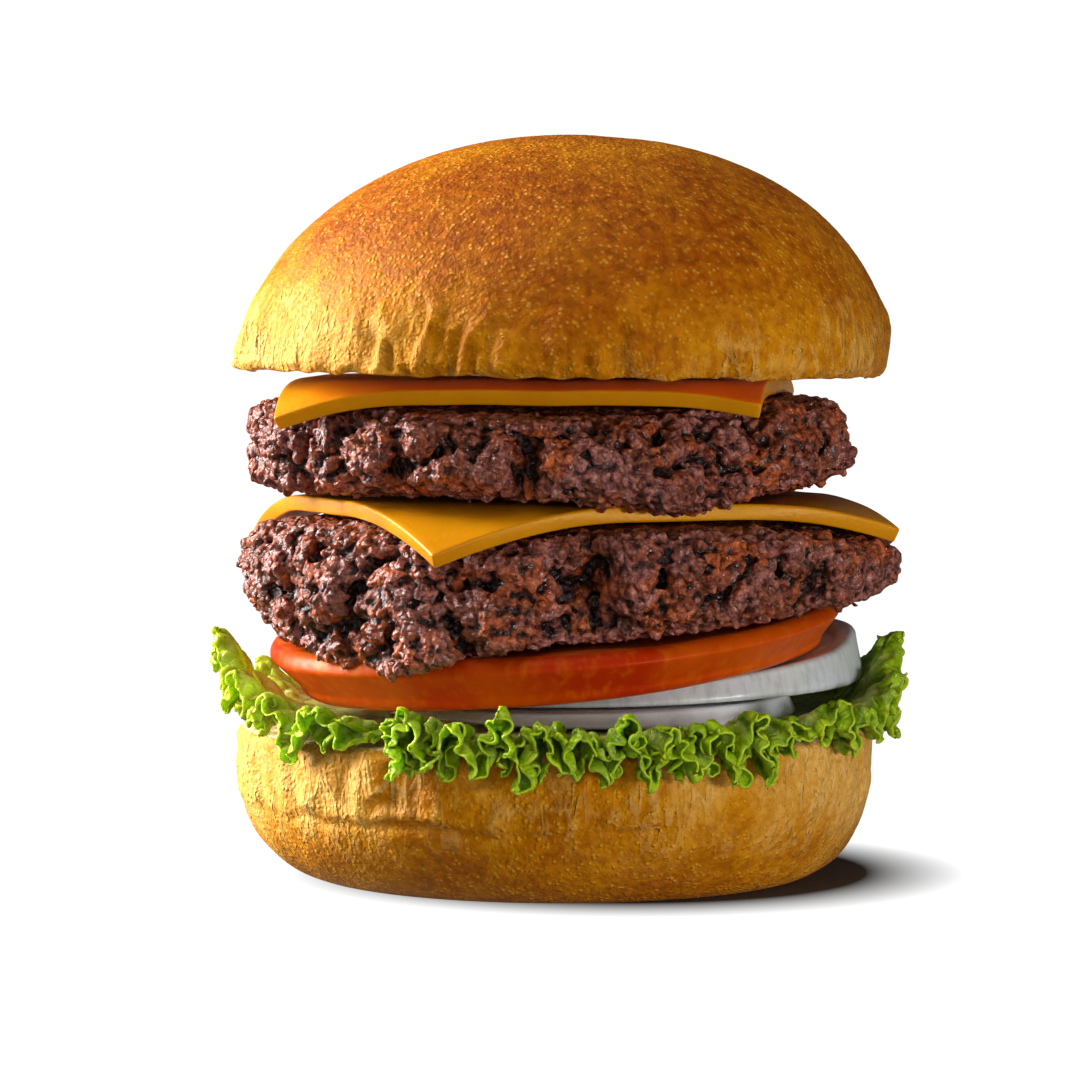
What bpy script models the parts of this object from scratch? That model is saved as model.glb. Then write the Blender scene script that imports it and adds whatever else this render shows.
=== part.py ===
# A double hamburger, built up from the flat under its bottom bun.
# Metres, +Z up. The origin is the middle of that flat, and the front, where the lettuce frills out, is -Y.

import math

import bmesh
import bpy
from mathutils import Vector, noise

MM = 0.001
GAP = 0.4 * MM  # air between layers that lie on each other
SHARP_EDGE = math.radians(50)

# Bottom bun
BOTTOM_BUN_FLAT_RADIUS = 40 * MM
BOTTOM_BUN_RADIUS = 55.7 * MM
BOTTOM_BUN_WIDEST_Z = 20 * MM
BOTTOM_BUN_HEIGHT = 26.5 * MM
BOTTOM_BUN_EDGE = 2 * MM
BOTTOM_BUN_LEAN = -0.7 * MM  # how far it lies to the left above its foot

# Top bun: the upper half of an ellipsoid, with a small round at its rim
TOP_BUN_RADIUS = 57.2 * MM
TOP_BUN_UNDERSIDE_Z = 88.0 * MM
TOP_BUN_WIDEST_Z = 90.2 * MM
TOP_BUN_APEX_Z = 129.4 * MM
TOP_BUN_RIM = 1.6 * MM
TOP_BUN_LEAN = 3.3 * MM  # how far the apex lies to the right
TOP_BUN_TILT = math.radians(0.8)  # its left side is lifted
BUN_SEGMENTS = 42
BUN_UNEVENNESS = 0.5 * MM
BOTTOM_BUN_SWELLS = 22 * MM  # across each swell of its unevenness
TOP_BUN_SWELLS = 26 * MM

# Onion slices: centre and radius under and above. They are wedges, thicker at the right.
# A plane is its height at the origin and its slopes in X and Y.
LOWER_ONION_CENTRE = (9 * MM, -6 * MM)
LOWER_ONION_RADII = (32 * MM, 31 * MM)
LOWER_ONION_FLOOR = (28.8 * MM, 0.0, 0.0)
LOWER_ONION_TOP = (31.3 * MM, 0.032, 0.0)
UPPER_ONION_CENTRE = (13.4 * MM, 7.0 * MM)
UPPER_ONION_RADII = (40 * MM, 39 * MM)
UPPER_ONION_FLOOR = (31.7 * MM, 0.036, 0.0)
ONION_RING_WIDTH = 3.4 * MM
ONION_RING_LIFT = 1.6 * MM  # the upper slice's outer ring stands up on the right, beside the tomato
ONION_EDGE = 1 * MM
ONION_UNEVENNESS = 0.02  # share of its radius
ONION_SEGMENTS = 40

# Tomato slice: it leans down to the left and to the front, on the onion
TOMATO_CENTRE = (-1.9 * MM, 0.0)
TOMATO_RADII = (45.6 * MM, 49.6 * MM)
TOMATO_FLOOR = (36.24 * MM, 0.0965, 0.06)
TOMATO_RIM_THICKNESS = 8.8 * MM
TOMATO_TAPER = 1.4 * MM  # how much thicker its left end is, and thinner its right end
TOMATO_MID_THICKNESS = 7.4 * MM
TOMATO_EDGE = 2.4 * MM
TOMATO_SLANT = 2.2 * MM  # how far its lower side is pushed to the right under its upper one
TOMATO_LOBES = 5
TOMATO_LOBE_DEPTH = 0.012  # share of its radius
TOMATO_SEGMENTS = 44

# Patties
LOWER_PATTY_CENTRE = (2.4 * MM, 0.0)
LOWER_PATTY_RADII = (58.8 * MM, 55.2 * MM)
LOWER_PATTY_TOP = 63.4 * MM
LOWER_PATTY_SEED = 1.3
# How far it hangs past the tomato's rim: the direction and half width in degrees, and the drop
LOWER_PATTY_HANGS = [(-124, 25, 6.4 * MM), (-62, 34, -1.9 * MM), (2, 30, -0.5 * MM), (-174, 26, -2.4 * MM)]
UPPER_PATTY_CENTRE = (-1.3 * MM, 0.0)
UPPER_PATTY_RADII = (53.8 * MM, 53.0 * MM)
UPPER_PATTY_BOTTOM = 67.2 * MM
UPPER_PATTY_TOP = 84.0 * MM
UPPER_PATTY_SEED = 4.1
UPPER_PATTY_HANGS = [(-118, 22, -2.3 * MM), (-83, 14, 1.0 * MM), (-12, 30, -2.6 * MM)]
UPPER_PATTY_LIP = (-64, 12, 3.0 * MM)  # direction, half width and drop, past the edge of the lower cheese
UPPER_PATTY_FRONT_DROP = 2.2 * MM  # of its top, towards the front
LOWER_PATTY_CORNER_DROP = 2.4 * MM  # of its top, under the corners of the cheese
PATTY_SEGMENTS = 72
CRAG_SIZE = 13 * MM
CRAG_DEPTH = 3.6 * MM
PRESSED_DEPTH = 0.4 * MM
# The outline of a patty's section from the top middle to the bottom middle, in shares of its radius and of
# half its height. Its upper edge is rounder than its lower one.
PATTY_UPPER = [(0, 1), (0.35, 1), (0.62, 1), (0.81, 1), (0.9, 0.92), (0.96, 0.7), (0.99, 0.38), (1, 0)]
PATTY_LOWER = [(1, -0.38), (0.985, -0.74), (0.925, -0.95), (0.81, -1), (0.62, -1), (0.35, -1), (0, -1)]

# Cheese slices: square, with corners that bend down past the patty
CHEESE_THICKNESS = 2.7 * MM
LOWER_CHEESE_SIDE = 87 * MM
LOWER_CHEESE_CENTRE = (0.9 * MM, 0.0)
LOWER_CHEESE_TURN = math.radians(24)
UPPER_CHEESE_SIDE = 82 * MM
UPPER_CHEESE_TURN = math.radians(-7)
UPPER_CHEESE_CENTRE = (-2.5 * MM, 0.0)
# Each bend: the direction in which the slice goes down, in degrees with its front edge at -90,
# how far its fold is from the middle, and its radius
LOWER_CHEESE_BENDS = [
    (-135, 35 * MM, 48 * MM),
    (-45, 40 * MM, 48 * MM),
    (45, 41 * MM, 30 * MM),
    (135, 41 * MM, 25 * MM),
]
UPPER_CHEESE_BENDS = [
    (-135, 40 * MM, 33 * MM),
    (-90, 31 * MM, 36 * MM),
    (-45, 43 * MM, 50 * MM),
    (45, 42 * MM, 40 * MM),
    (135, 42 * MM, 40 * MM),
]
CHEESE_CELLS = 14

# Lettuce
LEAF_THICKNESS = 0.8 * MM
LEAF_INNER_RADIUS = 30 * MM
LEAF_FLOOR = 27.8 * MM
STEPS_PER_WAVE = 8


def clear_scene():
    for obj in list(bpy.data.objects):
        bpy.data.objects.remove(obj)


def smoothstep(value, low, high):
    t = min(max((value - low) / (high - low), 0.0), 1.0)
    return t * t * (3 - 2 * t)


def material(name, colour, roughness):
    made = bpy.data.materials.new(name)
    made.use_nodes = True
    shader = made.node_tree.nodes["Principled BSDF"]
    shader.inputs["Base Color"].default_value = (*colour, 1.0)
    shader.inputs["Roughness"].default_value = roughness
    shader.inputs["Metallic"].default_value = 0.0
    return made


def add_object(name, mesh, look):
    obj = bpy.data.objects.new(name, mesh)
    bpy.data.collections["double_hamburger"].objects.link(obj)
    obj.data.materials.append(look)
    return obj


def move_points(mesh, rule):
    for vertex in mesh.vertices:
        vertex.co = rule(vertex.co)


def with_modifiers_applied(obj):
    bpy.context.view_layer.update()
    graph = bpy.context.evaluated_depsgraph_get()
    mesh = bpy.data.meshes.new_from_object(obj.evaluated_get(graph))
    obj.modifiers.clear()
    obj.data = mesh
    return obj


def shade_round(obj):
    obj.data.shade_smooth()
    obj.data.set_sharp_from_angle(angle=SHARP_EDGE)


def thickened(obj, thickness):
    """Gives a sheet its thickness, half of it on either side."""
    solid = obj.modifiers.new("thickness", "SOLIDIFY")
    solid.thickness = thickness
    solid.offset = 0.0
    return with_modifiers_applied(obj)


def turned(name, profile, segments, look):
    """A closed profile, from the axis out and back, turned about Z."""
    mesh = bpy.data.meshes.new(name)
    edges = [(i, i + 1) for i in range(len(profile) - 1)]
    mesh.from_pydata([(r, 0.0, z) for r, z in profile], edges, [])
    obj = add_object(name, mesh, look)
    screw = obj.modifiers.new("turn", "SCREW")
    screw.steps = screw.render_steps = segments
    screw.use_merge_vertices = True
    screw.merge_threshold = 0.00001
    return with_modifiers_applied(obj)


def arc(centre, radii, start, end, count):
    """Points of an ellipse's arc from start to end degrees, both included."""
    angles = [math.radians(start + (end - start) * i / count) for i in range(count + 1)]
    return [(centre[0] + radii[0] * math.cos(a), centre[1] + radii[1] * math.sin(a)) for a in angles]


def slow_noise(point, scale, seed):
    """Smooth noise from -1 to 1, whose swells are about scale across."""
    return noise.noise(point / scale + Vector((seed, seed * 1.7, -seed)))


def make_bottom_bun(look):
    flat = BOTTOM_BUN_FLAT_RADIUS
    side = arc((flat, BOTTOM_BUN_WIDEST_Z), (BOTTOM_BUN_RADIUS - flat, BOTTOM_BUN_WIDEST_Z), 0, -90, 7)
    edge_centre = (BOTTOM_BUN_RADIUS - BOTTOM_BUN_EDGE, BOTTOM_BUN_HEIGHT - BOTTOM_BUN_EDGE)
    edge = arc(edge_centre, (BOTTOM_BUN_EDGE, BOTTOM_BUN_EDGE), 90, 0, 2)
    profile = [(0.0, BOTTOM_BUN_HEIGHT), *edge, *side, (0.0, 0.0)]
    obj = turned("bottom_bun", profile, BUN_SEGMENTS, look)

    def uneven(point):
        between_flats = math.sin(math.pi * point.z / BOTTOM_BUN_HEIGHT)
        swell = slow_noise(point, BOTTOM_BUN_SWELLS, 3.0) * BUN_UNEVENNESS * between_flats
        reach = math.hypot(point.x, point.y)
        if reach < flat / 2:
            return point.copy()
        out = Vector((point.x, point.y, 0.0)) / reach
        lean = BOTTOM_BUN_LEAN * smoothstep(point.z, 0.0, BOTTOM_BUN_HEIGHT / 3)
        return point + out * swell + Vector((lean, 0.0, 0.0))

    move_points(obj.data, uneven)
    return obj


def make_top_bun(look):
    dome_height = TOP_BUN_APEX_Z - TOP_BUN_WIDEST_Z
    rim_height = TOP_BUN_WIDEST_Z - TOP_BUN_UNDERSIDE_Z
    dome = arc((0.0, TOP_BUN_WIDEST_Z), (TOP_BUN_RADIUS, dome_height), 90, 0, 10)
    rim = arc((TOP_BUN_RADIUS - TOP_BUN_RIM, TOP_BUN_WIDEST_Z), (TOP_BUN_RIM, rim_height), 0, -90, 2)
    profile = [(r, z - TOP_BUN_UNDERSIDE_Z) for r, z in [*dome, *rim[1:]]]
    obj = turned("top_bun", [*profile, (0.0, 0.0)], BUN_SEGMENTS, look)
    height = TOP_BUN_APEX_Z - TOP_BUN_UNDERSIDE_Z

    def uneven(point):
        rise = max(point.z / height, 0.0)
        swell = slow_noise(point, TOP_BUN_SWELLS, 8.0) * BUN_UNEVENNESS * math.sin(math.pi * min(rise, 0.75))
        out = point.normalized()
        return point + out * swell + Vector((TOP_BUN_LEAN * rise**0.7, 0.0, 0.0))

    move_points(obj.data, uneven)
    obj.location = (0.0, 0.0, TOP_BUN_UNDERSIDE_Z)
    obj.rotation_euler = (0.0, TOP_BUN_TILT, 0.0)
    return obj


def plane(surface, x, y):
    """The height of a leaning plane over a point."""
    return surface[0] + surface[1] * x + surface[2] * y


def upper_onion_top(x, y):
    return plane(TOMATO_FLOOR, x, y) - GAP


def make_onion(name, centre, radii, floor_rule, top_rule, ring_lift, look):
    """Turned at a thickness of one, then laid between two surfaces. Its outer ring is lifted at the right."""
    ring_inside = radii[1] - ONION_RING_WIDTH
    top = [(0.0, 1.0), (radii[1] * 0.6, 1.0), (ring_inside - ONION_EDGE / 2, 1.0), (ring_inside, 1.0)]
    rim = [(radii[1] - ONION_EDGE, 1.0), (radii[1], 0.82), (radii[0], 0.25), (radii[0] - ONION_EDGE / 2, 0.0)]
    obj = turned(name, [*top, *rim, (radii[0] * 0.6, 0.0), (0.0, 0.0)], ONION_SEGMENTS, look)

    def laid(point):
        swell = 1 + ONION_UNEVENNESS * slow_noise(point * Vector((1, 1, 0)), 18 * MM, 5.0)
        x, y = point.x * swell + centre[0], point.y * swell + centre[1]
        lift = 0.0
        if math.hypot(point.x, point.y) > ring_inside - ONION_EDGE / 10:
            angle = math.degrees(math.atan2(point.y, point.x))
            lift = ring_lift * smoothstep(angle, -26, 4) * smoothstep(-angle, -95, -35)
        floor, top_height = floor_rule(x, y), top_rule(x, y) + lift
        return Vector((x, y, floor + point.z * (top_height - floor)))

    move_points(obj.data, laid)
    return obj


def tomato_thickness(x, y):
    share = math.hypot(x - TOMATO_CENTRE[0], y - TOMATO_CENTRE[1]) / TOMATO_RADII[1]
    at_rim = TOMATO_RIM_THICKNESS - TOMATO_TAPER * x / TOMATO_RADII[1]
    return TOMATO_MID_THICKNESS + (at_rim - TOMATO_MID_THICKNESS) * smoothstep(share, 0.3, 0.9)


def make_tomato(look):
    """Turned at a thickness of one, then set on the leaning plane."""
    edge = TOMATO_EDGE
    lower_skin = arc((TOMATO_RADII[0] - edge, 0.25), (edge, 0.25), -15, -75, 2)
    upper_skin = arc((TOMATO_RADII[1] - edge, 0.72), (edge, 0.28), 75, 0, 2)
    rings = [TOMATO_RADII[0] * share for share in (0.4, 0.7, 0.88)]
    top = [(0.0, 1.0), *[(r, 1.0) for r in rings]]
    profile = [*top, *upper_skin, *lower_skin, *[(r, 1.0 - z) for r, z in reversed(top)]]
    obj = turned("tomato", profile, TOMATO_SEGMENTS, look)

    def laid(point):
        lobed = 1 + TOMATO_LOBE_DEPTH * math.cos(TOMATO_LOBES * math.atan2(point.y, point.x) + 0.6)
        x = point.x * lobed + TOMATO_CENTRE[0] + TOMATO_SLANT * (1 - point.z)
        y = point.y * lobed + TOMATO_CENTRE[1]
        return Vector((x, y, plane(TOMATO_FLOOR, x, y) + point.z * tomato_thickness(x, y)))

    move_points(obj.data, laid)
    return obj


def crag(point, seed):
    """How deep a patty's surface is broken at a point, from 0 to 1: round lumps with creases between them."""
    spot = point / CRAG_SIZE + Vector((seed, -seed, seed * 2))
    lumps = min(2.4 * abs(noise.noise(spot)), 1.0)
    grains = min(2.0 * abs(noise.noise(spot * 2.1)), 1.0)
    return 1 - 0.65 * lumps - 0.35 * grains


def make_patty(name, centre, radii, floor_rule, top_rule, seed, look):
    """A flat round, turned, then laid between its floor and top surfaces and broken up round its side."""
    obj = turned(name, [*PATTY_UPPER, *PATTY_LOWER], PATTY_SEGMENTS, look)

    def laid(point):
        reach, level = math.hypot(point.x, point.y), point.z
        angle = math.atan2(point.y, point.x)
        lobed = 1 + 0.014 * math.cos(3 * angle + seed) + 0.01 * math.cos(7 * angle + 2 * seed)
        out = Vector((math.cos(angle) * radii[0], math.sin(angle) * radii[1], 0.0)) * reach * lobed
        x, y = out.x + centre[0], out.y + centre[1]
        floor, top = floor_rule(x, y), top_rule(x, y)
        height = (floor + top) / 2 + level * (top - floor) / 2
        depth = crag(Vector((x, y, height)), seed)
        inward = -out.normalized() * depth * CRAG_DEPTH * smoothstep(reach, 0.8, 0.98)
        pressed_in = -math.copysign(depth * PRESSED_DEPTH * abs(level), level)
        return Vector((x + inward.x, y + inward.y, height + pressed_in))

    move_points(obj.data, laid)
    return obj


def towards(x, y, degrees, half_width):
    """1 in this direction from the middle, falling to 0 on either side of it."""
    off = (math.degrees(math.atan2(y, x)) - degrees + 180) % 360 - 180
    return math.exp(-((off / half_width) ** 2))


def lower_patty_floor(x, y):
    """It lies on the tomato, and hangs past the tomato's rim in some directions."""
    share = math.hypot(x - TOMATO_CENTRE[0], y - TOMATO_CENTRE[1]) / TOMATO_RADII[1]
    on_tomato = plane(TOMATO_FLOOR, x, y) + tomato_thickness(x, y) + 2 * GAP
    hang = sum(drop * towards(x, y, degrees, half_width) for degrees, half_width, drop in LOWER_PATTY_HANGS)
    return on_tomato - hang * smoothstep(share, 1.0, 1.1)


def lower_patty_top(x, y):
    """Flat under the cheese, and lower towards the corners where the cheese bends down."""
    reach = math.hypot(x, y)
    corners = sum(towards(x, y, math.degrees(LOWER_CHEESE_TURN) - 135 + 90 * i, 22) for i in range(4))
    return LOWER_PATTY_TOP - LOWER_PATTY_CORNER_DROP * corners * smoothstep(reach, 36 * MM, 56 * MM)


def upper_patty_floor(x, y):
    hang = sum(drop * towards(x, y, degrees, half_width) for degrees, half_width, drop in UPPER_PATTY_HANGS)
    direction, half_width, drop = UPPER_PATTY_LIP
    lip = drop * towards(x, y, direction, half_width) * smoothstep(math.hypot(x, y), 45.5 * MM, 49 * MM)
    return UPPER_PATTY_BOTTOM - hang * smoothstep(math.hypot(x, y), 40 * MM, 52 * MM) - lip


def upper_patty_top(x, y):
    return UPPER_PATTY_TOP - UPPER_PATTY_FRONT_DROP * smoothstep(-y, 26 * MM, 46 * MM)


def make_cheese(name, side, centre, turn, floor, bends, look):
    """A square sheet that bends down at its corners and edges."""
    bm = bmesh.new()
    bmesh.ops.create_grid(bm, x_segments=CHEESE_CELLS, y_segments=CHEESE_CELLS, size=side / 2)
    bmesh.ops.triangulate(bm, faces=bm.faces)
    mesh = bpy.data.meshes.new(name)
    bm.to_mesh(mesh)
    bm.free()

    def bent(point):
        flat = Vector((point.x, point.y))
        height = 0.0
        for direction, fold, radius in bends:
            angle = math.radians(direction)
            down = Vector((math.cos(angle), math.sin(angle)))
            past = flat.dot(down) - fold
            if past > 0:
                flat -= down * (past - radius * math.sin(past / radius))
                height -= radius * (1 - math.cos(past / radius))
        x = flat.x * math.cos(turn) - flat.y * math.sin(turn) + centre[0]
        y = flat.x * math.sin(turn) + flat.y * math.cos(turn) + centre[1]
        return Vector((x, y, floor + CHEESE_THICKNESS / 2 + height))

    move_points(mesh, bent)
    return thickened(add_object(name, mesh, look), CHEESE_THICKNESS)


# Each lettuce piece: its arc round the bun in degrees, how many ruffles it has and their height at its margin
# in millimetres, where it stands up (the middle of that stretch, half its width and how high), how much lower
# its margin is than its inside, and the phase of its ruffles.
LEAVES = {
    "lettuce_front": {
        "arc": (-121.5, -48),
        "waves": 10.5,
        "ruffle": 5.8,
        "stands": (-112, 22, 1.6),
        "droop": 1.9,
        "phase": 0.4,
    },
    "lettuce_left": {
        "arc": (-123.5, -209),
        "waves": 8.5,
        "ruffle": 3.6,
        "stands": (-175, 23, 11.5),
        "droop": 0.0,
        "phase": 1.9,
    },
    "lettuce_right": {
        "arc": (-46, 38),
        "waves": 8.5,
        "ruffle": 3.6,
        "stands": (6, 17, 10.5),
        "droop": 0.0,
        "phase": 3.1,
    },
    "lettuce_back": {
        "arc": (40, 149),
        "waves": 9.0,
        "ruffle": 5.2,
        "stands": (95, 40, 0.5),
        "droop": 0.8,
        "phase": 5.0,
    },
}


def leaf_rows(leaf, angle):
    """Radius, height and ruffle of the leaf at this angle, from its inner edge to its margin."""
    middle, half_width, stand = leaf["stands"]
    lift = math.exp(-(((angle - middle) / half_width) ** 2)) * stand * MM
    ruffle = leaf["ruffle"] * MM
    droop = leaf["droop"] * MM
    reach = 60.6 * MM if stand > 2 else 61.6 * MM
    return [
        (LEAF_INNER_RADIUS, LEAF_FLOOR, 0.0),
        (49.5 * MM, LEAF_FLOOR + 0.6 * MM, 0.06 * ruffle),
        (54.5 * MM, LEAF_FLOOR + 2.0 * MM + 0.3 * lift - 0.4 * droop, 0.32 * ruffle),
        (57.9 * MM, LEAF_FLOOR + 1.5 * MM + 0.85 * lift - 0.8 * droop, 0.72 * ruffle),
        (reach, LEAF_FLOOR + 0.2 * MM + 0.9 * lift - droop, ruffle),
    ]


def leaf_point(leaf, along, row):
    """A point of the leaf: along runs from 0 to 1 round its arc, and row counts out from the inner edge."""
    start, end = leaf["arc"]
    angle = start + (end - start) * along
    radius, height, ruffle = leaf_rows(leaf, angle)[row]
    drift = 0.5 * math.sin(2 * math.pi * 2.3 * along + leaf["phase"])
    turn = 2 * math.pi * leaf["waves"] * along + leaf["phase"] + drift
    size = ruffle * (0.85 + 0.25 * math.sin(2 * math.pi * 3.7 * along + 2 * leaf["phase"]))
    wave_length = math.radians(abs(end - start)) * radius / leaf["waves"]
    overhang = min(0.34 * size, 0.2 * wave_length) * math.sin(2 * turn)
    around = math.radians(angle) + math.copysign(overhang / radius, end - start)
    out = radius + 0.12 * size * math.sin(turn + 1.0)
    return Vector((out * math.cos(around), out * math.sin(around), height + size * math.cos(turn)))


def make_leaf(name, leaf, look):
    columns = round(leaf["waves"] * STEPS_PER_WAVE)
    rows = len(leaf_rows(leaf, 0.0)) - 1
    bm = bmesh.new()
    bmesh.ops.create_grid(bm, x_segments=columns, y_segments=rows, size=0.5)
    bmesh.ops.triangulate(bm, faces=bm.faces)
    mesh = bpy.data.meshes.new(name)
    bm.to_mesh(mesh)
    bm.free()
    move_points(mesh, lambda point: leaf_point(leaf, point.x + 0.5, round((point.y + 0.5) * rows)))
    return thickened(add_object(name, mesh, look), LEAF_THICKNESS)


def main():
    clear_scene()
    collection = bpy.data.collections.new("double_hamburger")
    bpy.context.scene.collection.children.link(collection)

    crust = material("crust", (0.62, 0.29, 0.06), 0.45)
    meat = material("meat", (0.13, 0.06, 0.04), 0.4)
    cheese = material("cheese", (0.85, 0.44, 0.02), 0.35)
    flesh = material("tomato", (0.65, 0.11, 0.01), 0.25)
    onion = material("onion", (0.75, 0.76, 0.70), 0.3)
    leaf = material("lettuce", (0.25, 0.42, 0.02), 0.35)

    make_bottom_bun(crust)
    for name, shape in LEAVES.items():
        make_leaf(name, shape, leaf)
    make_onion(
        "onion_lower",
        LOWER_ONION_CENTRE,
        LOWER_ONION_RADII,
        lambda x, y: plane(LOWER_ONION_FLOOR, x, y),
        lambda x, y: plane(LOWER_ONION_TOP, x, y),
        0.0,
        onion,
    )
    make_onion(
        "onion_upper",
        UPPER_ONION_CENTRE,
        UPPER_ONION_RADII,
        lambda x, y: plane(UPPER_ONION_FLOOR, x, y),
        upper_onion_top,
        ONION_RING_LIFT,
        onion,
    )
    make_tomato(flesh)
    make_patty(
        "patty_lower",
        LOWER_PATTY_CENTRE,
        LOWER_PATTY_RADII,
        lower_patty_floor,
        lower_patty_top,
        LOWER_PATTY_SEED,
        meat,
    )
    make_cheese(
        "cheese_lower",
        LOWER_CHEESE_SIDE,
        LOWER_CHEESE_CENTRE,
        LOWER_CHEESE_TURN,
        LOWER_PATTY_TOP + GAP,
        LOWER_CHEESE_BENDS,
        cheese,
    )
    make_patty(
        "patty_upper",
        UPPER_PATTY_CENTRE,
        UPPER_PATTY_RADII,
        upper_patty_floor,
        upper_patty_top,
        UPPER_PATTY_SEED,
        meat,
    )
    make_cheese(
        "cheese_upper",
        UPPER_CHEESE_SIDE,
        UPPER_CHEESE_CENTRE,
        UPPER_CHEESE_TURN,
        UPPER_PATTY_TOP + GAP,
        UPPER_CHEESE_BENDS,
        cheese,
    )
    make_top_bun(crust)
    for obj in collection.objects:
        shade_round(obj)


main()
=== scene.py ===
# The dressed double hamburger: each solid of the frame is replaced by a finely made piece of the same form.
# Metres, +Z up, the front is -Y. Texture sizes are given in millimetres.
import math
import random

import bmesh
import bpy
import numpy as np
from mathutils import Euler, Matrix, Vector, noise


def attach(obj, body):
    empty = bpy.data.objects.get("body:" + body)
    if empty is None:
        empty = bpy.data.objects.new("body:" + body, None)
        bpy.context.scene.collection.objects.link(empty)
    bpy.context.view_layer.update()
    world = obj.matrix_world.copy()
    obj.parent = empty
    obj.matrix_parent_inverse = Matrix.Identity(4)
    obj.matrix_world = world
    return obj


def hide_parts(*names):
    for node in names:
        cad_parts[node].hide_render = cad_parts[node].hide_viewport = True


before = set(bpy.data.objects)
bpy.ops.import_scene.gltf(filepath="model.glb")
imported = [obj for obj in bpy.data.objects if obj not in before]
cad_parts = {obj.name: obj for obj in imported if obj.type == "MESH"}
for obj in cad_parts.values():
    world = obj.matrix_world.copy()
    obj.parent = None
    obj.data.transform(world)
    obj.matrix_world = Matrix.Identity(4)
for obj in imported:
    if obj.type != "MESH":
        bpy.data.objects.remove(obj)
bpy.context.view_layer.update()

MM = 0.001
GAP = 0.4 * MM  # air between layers that lie on each other

# Bottom bun
BOTTOM_BUN_FLAT_RADIUS = 40 * MM
BOTTOM_BUN_RADIUS = 55.7 * MM
BOTTOM_BUN_WIDEST_Z = 20 * MM
BOTTOM_BUN_HEIGHT = 26.5 * MM
BOTTOM_BUN_EDGE = 2 * MM
BOTTOM_BUN_LEAN = -0.7 * MM
BOTTOM_BUN_CREASE_Z = 13.2 * MM

# Top bun
TOP_BUN_RADIUS = 57.2 * MM
TOP_BUN_UNDERSIDE_Z = 88.0 * MM
TOP_BUN_WIDEST_Z = 90.2 * MM
TOP_BUN_APEX_Z = 129.4 * MM
TOP_BUN_RIM = 1.6 * MM
TOP_BUN_LEAN = 3.3 * MM
TOP_BUN_TILT = math.radians(0.8)
BUN_UNEVENNESS = 0.5 * MM
BUN_SEGMENTS = 400

# Tomato slice
TOMATO_CENTRE = (-1.9 * MM, 0.0)
TOMATO_RADII = (45.6 * MM, 49.6 * MM)
TOMATO_FLOOR = (36.24 * MM, 0.0965, 0.06)
TOMATO_RIM_THICKNESS = 8.8 * MM
TOMATO_TAPER = 1.4 * MM
TOMATO_MID_THICKNESS = 7.4 * MM
TOMATO_EDGE = 2.4 * MM
TOMATO_SLANT = 2.2 * MM
TOMATO_LOBES = 5
TOMATO_LOBE_DEPTH = 0.012
TOMATO_SEGMENTS = 240

# Onion slices
ONIONS = {
    "onion_lower": {
        "centre": (9 * MM, -6 * MM), "radii": (32 * MM, 31 * MM),  # at the floor and at the top
        "floor": (28.8 * MM, 0.0, 0.0),  # a plane: its height, and its rise along X and Y
        "top": (31.3 * MM, 0.032, 0.0), "ring_lift": 0.0, "pale": 1.0,
    },
    "onion_upper": {
        "centre": (13.4 * MM, 7.0 * MM), "radii": (40 * MM, 39 * MM),
        "floor": (31.7 * MM, 0.036, 0.0),
        "top": (TOMATO_FLOOR[0] - GAP, *TOMATO_FLOOR[1:]), "ring_lift": 1.6 * MM, "pale": 0.0,
    },
}
ONION_RING_WIDTH = 3.4 * MM
ONION_SHOULDER = 1.2 * MM
ONION_FOOT = 0.7 * MM
ONION_SEGMENTS = 150

# Patties
LOWER_PATTY_TOP = 63.4 * MM
# Direction, half width and drop of what hangs past the layer below
LOWER_PATTY_HANGS = [(-124, 25, 6.4 * MM), (-62, 34, -1.9 * MM), (2, 30, -0.5 * MM), (-174, 26, -2.4 * MM)]
UPPER_PATTY_BOTTOM = 67.2 * MM
UPPER_PATTY_TOP = 84.0 * MM
UPPER_PATTY_HANGS = [(-118, 22, -2.3 * MM), (-83, 14, 1.0 * MM), (-12, 30, -2.6 * MM)]
UPPER_PATTY_LIP = (-64, 12, 3.0 * MM)
UPPER_PATTY_FRONT_DROP = 2.2 * MM
LOWER_PATTY_CORNER_DROP = 2.4 * MM
CRAG_SIZE = 13 * MM
CRAG_DEPTH = 3.6 * MM
PRESSED_DEPTH = 0.4 * MM
PATTY_UPPER = [(0, 1), (0.35, 1), (0.62, 1), (0.81, 1), (0.9, 0.92), (0.96, 0.7), (0.99, 0.38), (1, 0)]
PATTY_LOWER = [(1, -0.38), (0.985, -0.74), (0.925, -0.95), (0.81, -1), (0.62, -1), (0.35, -1), (0, -1)]
PATTY_RINGS = 86
PATTY_SEGMENTS = 300
PATTY_VOXEL = 0.47 * MM
PATTY_TRIANGLES = 150000
GRAIN_COUNT = 7500
GRAIN_STATIONS = (2.2, 12.3, 7.2)  # first, last and commonest, counted along the patty's profile
GRAIN_SIZES = (0.5, 1.7, 0.75)  # smallest, largest and commonest, in millimetres
GRAIN_SINK = 0.3 * MM
CRUMB_SIZE = 3.6 * MM
CRUMB_RISE = 0.62 * MM
CORE_SINK = 1.5 * MM
# These marks darken the meat's colour as painted shade, in its small dips and in its wider, deeper ones.
HOLLOWS = {"painted_crevice_shade": (14, 0.6 * MM), "deep": (90, 1.7 * MM)}  # how wide the search is, and their depth

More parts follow.
